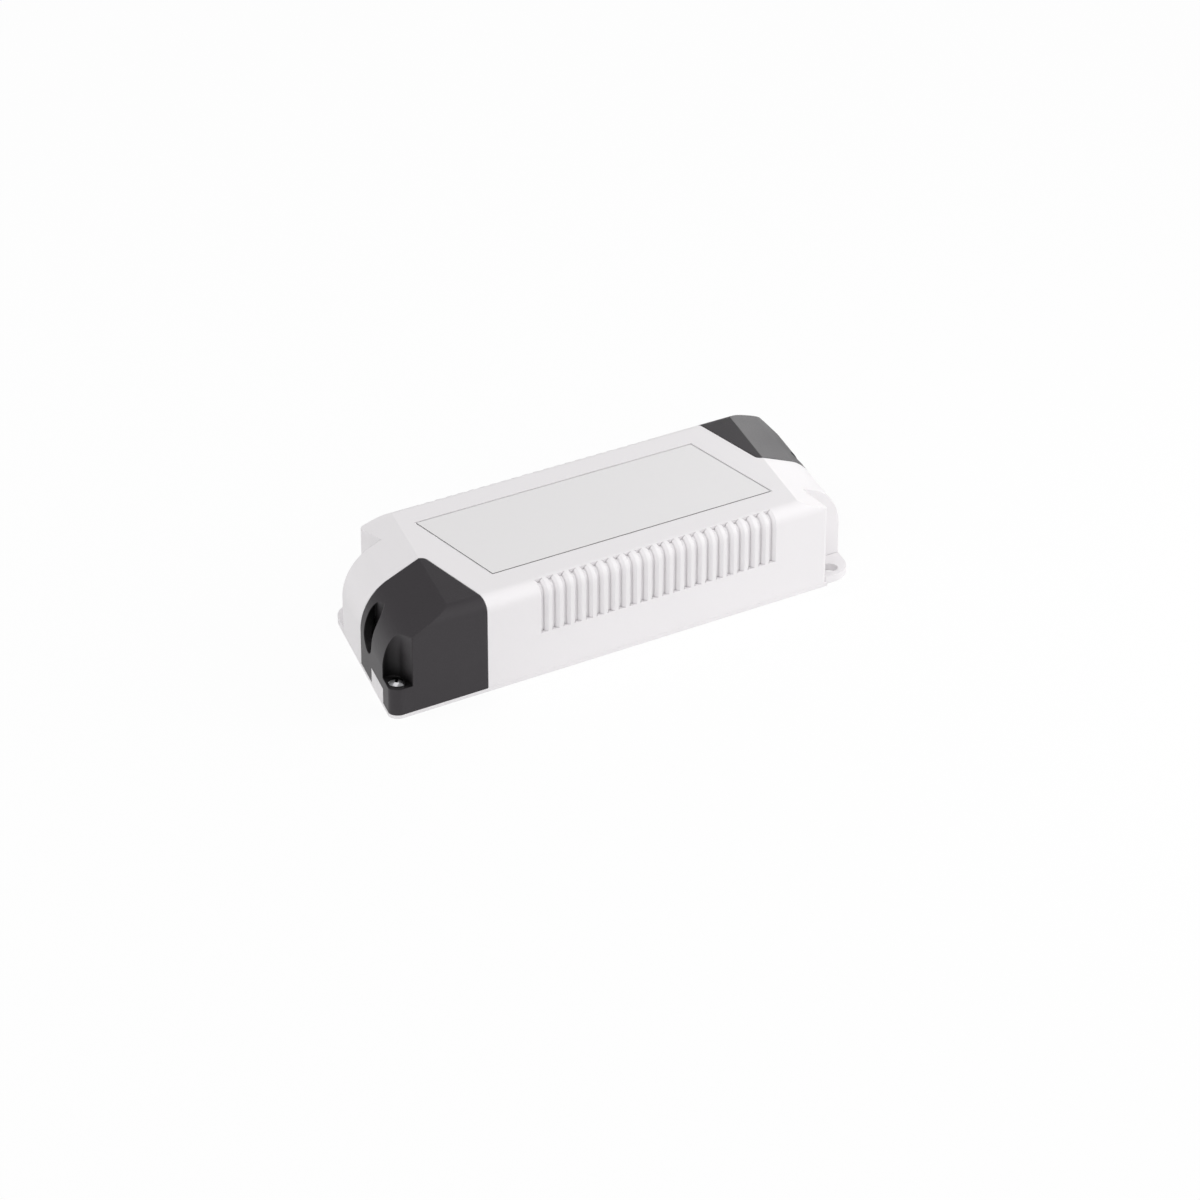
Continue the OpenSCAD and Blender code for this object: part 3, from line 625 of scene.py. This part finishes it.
class LEDDRIVER_OT_housing(bpy.types.Operator):
    """Gives the white housing and its base their finish"""

    bl_idname = "led_driver.housing"
    bl_label = "Housing and base"

    def execute(self, context):
        s = context.scene.led_driver.moulding
        painted_highlight = (s.edge_highlight_width, shaded(s.white, s.white_edge_highlight))
        shade = (s.white_reach, s.white_shade, s.white_steepness)
        white = moulded_plastic(
            "white_moulding", s.white, s.white_roughness, s.grain, s.white_grain_depth, s.white_cloud,
            painted_highlight=painted_highlight, edge=s.white_edge, shade=shade,
        )
        dress(white, "top_housing", "base_tray")
        return {"FINISHED"}


class LEDDRIVER_OT_covers(bpy.types.Operator):
    """Gives the two dark terminal covers their finish"""

    bl_idname = "led_driver.covers"
    bl_label = "Terminal covers"

    def execute(self, context):
        s = context.scene.led_driver.moulding
        painted_highlight = (s.edge_highlight_width, shaded(s.dark, s.dark_edge_highlight))
        shade = (s.dark_reach, s.dark_shade, s.dark_steepness)
        dark = moulded_plastic(
            "dark_moulding", s.dark, s.dark_roughness, s.grain, s.dark_grain_depth, s.dark_cloud,
            painted_highlight=painted_highlight, gloss=s.dark_gloss, edge=s.dark_edge, shade=shade,
        )
        dress(dark, "input_cover", "output_cover")
        return {"FINISHED"}


class LEDDRIVER_OT_label(bpy.types.Operator):
    """Gives the blank label its film"""

    bl_idname = "led_driver.label"
    bl_label = "Blank label"

    def execute(self, context):
        s = context.scene.led_driver.label
        film = moulded_plastic(
            "label_film", s.film, s.roughness, s.grain, s.depth, s.cloud, cut=s.film_edge_shade
        )
        dress(film, "blank_label")
        return {"FINISHED"}


class LEDDRIVER_OT_metal(bpy.types.Operator):
    """Gives the screws and the wire cages their plating"""

    bl_idname = "led_driver.metal"
    bl_label = "Screws and wire cages"

    def execute(self, context):
        s = context.scene.led_driver.metal
        shade = (s.recess_reach, s.recess_shade, s.recess_steepness)
        dress(plated_metal("screw_steel", s.steel, s.roughness, shade), "cover_screws", "terminal_screws")
        dress(plated_metal("cage_brass", s.brass, s.roughness, shade), "wire_cages")
        return {"FINISHED"}


class LEDDRIVER_OT_board(bpy.types.Operator):
    """Gives the circuit board and its terminal blocks their finish"""

    bl_idname = "led_driver.board"
    bl_label = "Board and terminal blocks"

    def execute(self, context):
        s = context.scene.led_driver.inside
        dress(printed_board("board_laminate", s.laminate, s.trace), "circuit_board")
        green = moulded_plastic(
            "terminal_green", s.terminal, roughness=0.4, grain=0.5 * MM, depth=0.01 * MM, cloud=0.85
        )
        dress(green, "input_terminal_block", "output_terminal_block")
        return {"FINISHED"}


class LEDDRIVER_OT_components(bpy.types.Operator):
    """Gives the components on the board their finishes"""

    bl_idname = "led_driver.components"
    bl_label = "Components"

    def execute(self, context):
        s = context.scene.led_driver.inside
        packages = ("bridge_rectifier", "switching_transistor", "controller_chip", "output_diode")
        # Each finish, its colour and roughness, and the pieces that have it
        cases = (
            ("package_black", s.package, 0.55, *packages),
            ("ferrite", s.ferrite, 0.7, "choke_core", "transformer_core"),
            ("disc_blue", s.disc, 0.35, "varistor", "safety_capacitor"),
            ("film_yellow", s.film_case, 0.4, "film_capacitor"),
            ("can_sleeve", s.sleeve, 0.28, "bulk_capacitor", "output_capacitors"),
            ("fuse_brown", s.fuse_case, 0.45, "fuse"),
            ("resistor_tan", s.resistor, 0.5, "snubber_resistor"),
            ("bobbin_ivory", s.ivory, 0.45, "transformer_bobbin", "optocoupler"),
        )
        for name, base, roughness, *nodes in cases:
            case = moulded_plastic(name, base, roughness, grain=0.4 * MM, depth=0.012 * MM, cloud=0.8)
            dress(case, *nodes)
        low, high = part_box("choke_core")
        round_choke = phase_round((low + high) / 2, s.choke_turns)
        wire = wound("copper_wire", s.copper, round_choke, roughness=0.25, depth=0.2 * MM)
        dress(wire, "choke_windings")
        along_bobbin = phase_along_x(s.wire_pitch)
        tape = wound("winding_tape", s.tape, along_bobbin, roughness=0.35, depth=0.05 * MM)
        dress(tape, "transformer_winding")
        return {"FINISHED"}


def seen_directly(tree):
    """One where the camera sees a surface, also in a mirror or through glass, and nought for its light."""
    path = tree.nodes.new("ShaderNodeLightPath")
    glossy, through = path.outputs["Is Glossy Ray"], path.outputs["Is Transmission Ray"]
    mirrored = math_node(tree, "MAXIMUM", glossy, through)
    return math_node(tree, "MAXIMUM", path.outputs["Is Camera Ray"], mirrored)


def floor_white(s):
    """White that the camera sees almost evenly lit, with the part's faint shadow, and clear from below."""
    matt = 0.9
    underside_gaps = 3
    material, tree, shader = new_finish("floor_white")
    shader.inputs["Base Color"].default_value = (*s.floor, 1.0)
    shader.inputs["Roughness"].default_value = matt
    shader.inputs["Specular IOR Level"].default_value = 0.0
    white = tree.nodes.new("ShaderNodeEmission")
    blend = tree.nodes.new("ShaderNodeMixShader")
    tree.links.new(math_node(tree, "MULTIPLY", seen_directly(tree), s.floor_lift), blend.inputs["Fac"])
    tree.links.new(shader.outputs["BSDF"], blend.inputs[1])
    tree.links.new(white.outputs["Emission"], blend.inputs[2])
    # Clear from below, and for rays that leave the part's underside, so that the underside isn't black
    ray_length = tree.nodes.new("ShaderNodeLightPath").outputs["Ray Length"]
    from_underside = math_node(tree, "LESS_THAN", ray_length, underside_gaps * s.floor_gap)
    from_behind = tree.nodes.new("ShaderNodeNewGeometry").outputs["Backfacing"]
    one_sided = tree.nodes.new("ShaderNodeMixShader")
    tree.links.new(math_node(tree, "MAXIMUM", from_behind, from_underside), one_sided.inputs["Fac"])
    tree.links.new(blend.outputs["Shader"], one_sided.inputs[1])
    tree.links.new(tree.nodes.new("ShaderNodeBsdfTransparent").outputs["BSDF"], one_sided.inputs[2])
    tree.links.new(one_sided.outputs["Shader"], tree.nodes["Material Output"].inputs["Surface"])
    return material


def pale_floor(s):
    """Square floor just below the part."""
    half = s.floor_size / 2
    low = -s.floor_gap
    corners = [(-half, -half, low), (half, -half, low), (half, half, low), (-half, half, low)]
    mesh = bpy.data.meshes.new("floor")
    mesh.from_pydata(corners, [], [(0, 1, 2, 3)])
    floor = bpy.data.objects.new("floor", mesh)
    bpy.context.scene.collection.objects.link(floor)
    floor.data.materials.append(floor_white(s))


def studio_sky(s):
    """Soft light all round, dimmer high up behind the part, as in a studio with an open back."""
    dim_way = Vector((0.3, 0.75, 0.55)).normalized()
    # Cosines of the angles from that way at which the sky starts to dim and is dimmest
    dim_start = 0.45
    dim_full = 0.9
    world = bpy.data.worlds.new("studio")
    world.use_nodes = True
    tree = world.node_tree
    background = tree.nodes["Background"]
    background.inputs["Color"].default_value = (1.0, 1.0, 1.0, 1.0)
    facing = tree.nodes.new("ShaderNodeVectorMath")
    facing.operation = "DOT_PRODUCT"
    facing.inputs[1].default_value = dim_way
    tree.links.new(tree.nodes.new("ShaderNodeTexCoord").outputs["Generated"], facing.inputs[0])
    strength = spread(tree, facing.outputs["Value"], s.sky, s.dim_sky)
    strength.node.interpolation_type = "SMOOTHSTEP"
    strength.node.inputs["From Min"].default_value = dim_start
    strength.node.inputs["From Max"].default_value = dim_full
    tree.links.new(strength, background.inputs["Strength"])
    bpy.context.scene.world = world


def lamp(name, place, side, watts, aim):
    """Square soft lamp that faces the aim."""
    light = bpy.data.lights.new(name, "AREA")
    light.size = side
    light.energy = watts
    holder = bpy.data.objects.new(name, light)
    holder.location = place
    holder.rotation_euler = (aim - place).to_track_quat("-Z", "Y").to_euler()
    holder.visible_camera = False
    bpy.context.scene.collection.objects.link(holder)


def photo_camera(s):
    """Camera at the photograph's angle and distance."""
    turn, rise = s.azimuth, s.elevation
    right = Vector((math.cos(turn), -math.sin(turn), 0.0))
    forward = Vector((math.sin(turn) * math.cos(rise), math.cos(turn) * math.cos(rise), -math.sin(rise)))
    up = right.cross(forward)
    side = math.cos(s.roll) * right + math.sin(s.roll) * up
    top = math.cos(s.roll) * up - math.sin(s.roll) * right
    place = Vector((0.0, 0.0, s.aim_z)) + s.side_step * side - s.drop * top - s.distance * forward
    data = bpy.data.cameras.new("photo_camera")
    data.sensor_width = SENSOR_MM
    data.lens = s.focal_px / FRAME_PX * SENSOR_MM
    data.clip_start = 0.01
    data.clip_end = 100.0
    camera = bpy.data.objects.new("photo_camera", data)
    turned = Matrix((side, top, -forward)).transposed().to_4x4()
    camera.matrix_world = Matrix.Translation(place) @ turned
    bpy.context.scene.collection.objects.link(camera)
    bpy.context.scene.camera = camera


class LEDDRIVER_OT_stage(bpy.types.Operator):
    """Makes the floor, the light and the camera"""

    bl_idname = "led_driver.stage"
    bl_label = "Stage"

    def execute(self, context):
        s = context.scene.led_driver.stage
        context.scene.view_settings.view_transform = "Standard"
        aim = (CAD_BOX[0] + CAD_BOX[1]) / 2
        pale_floor(s)
        studio_sky(s)
        # In the order of LAMPS
        powers = (s.front_power, s.right_power, s.near_power, s.rim_power)
        for (name, place, side), watts in zip(LAMPS, powers):
            lamp(name, Vector(place), side, watts, aim)
        photo_camera(s)
        return {"FINISHED"}


class LEDDRIVER_PT_studio(bpy.types.Panel):
    """Steps that finish and stage the LED driver"""

    bl_idname = "LEDDRIVER_PT_studio"
    bl_label = "LED driver"
    bl_space_type = "VIEW_3D"
    bl_region_type = "UI"
    bl_category = "LED driver"

    def draw(self, context):
        for step in OPERATORS:
            self.layout.operator(step.bl_idname)


# A group that points to others is registered after them
SETTINGS = (
    MouldingSettings,
    LabelSettings,
    MetalSettings,
    InsideSettings,
    StageSettings,
    DriverSettings,
)
OPERATORS = (
    LEDDRIVER_OT_housing,
    LEDDRIVER_OT_covers,
    LEDDRIVER_OT_label,
    LEDDRIVER_OT_metal,
    LEDDRIVER_OT_board,
    LEDDRIVER_OT_components,
    LEDDRIVER_OT_stage,
)
CLASSES = (*SETTINGS, *OPERATORS, LEDDRIVER_PT_studio)


def register():
    """Adds the classes and the scene's settings."""
    for cls in CLASSES:
        bpy.utils.register_class(cls)
    bpy.types.Scene.led_driver = PointerProperty(type=DriverSettings)


def unregister():
    """Takes the classes and the scene's settings away."""
    del bpy.types.Scene.led_driver
    for cls in reversed(CLASSES):
        bpy.utils.unregister_class(cls)


def main():
    """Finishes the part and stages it."""
    register()
    bpy.ops.led_driver.housing()
    bpy.ops.led_driver.covers()
    bpy.ops.led_driver.label()
    bpy.ops.led_driver.metal()
    bpy.ops.led_driver.board()
    bpy.ops.led_driver.components()
    bpy.ops.led_driver.stage()


if __name__ == "__main__":
    main()
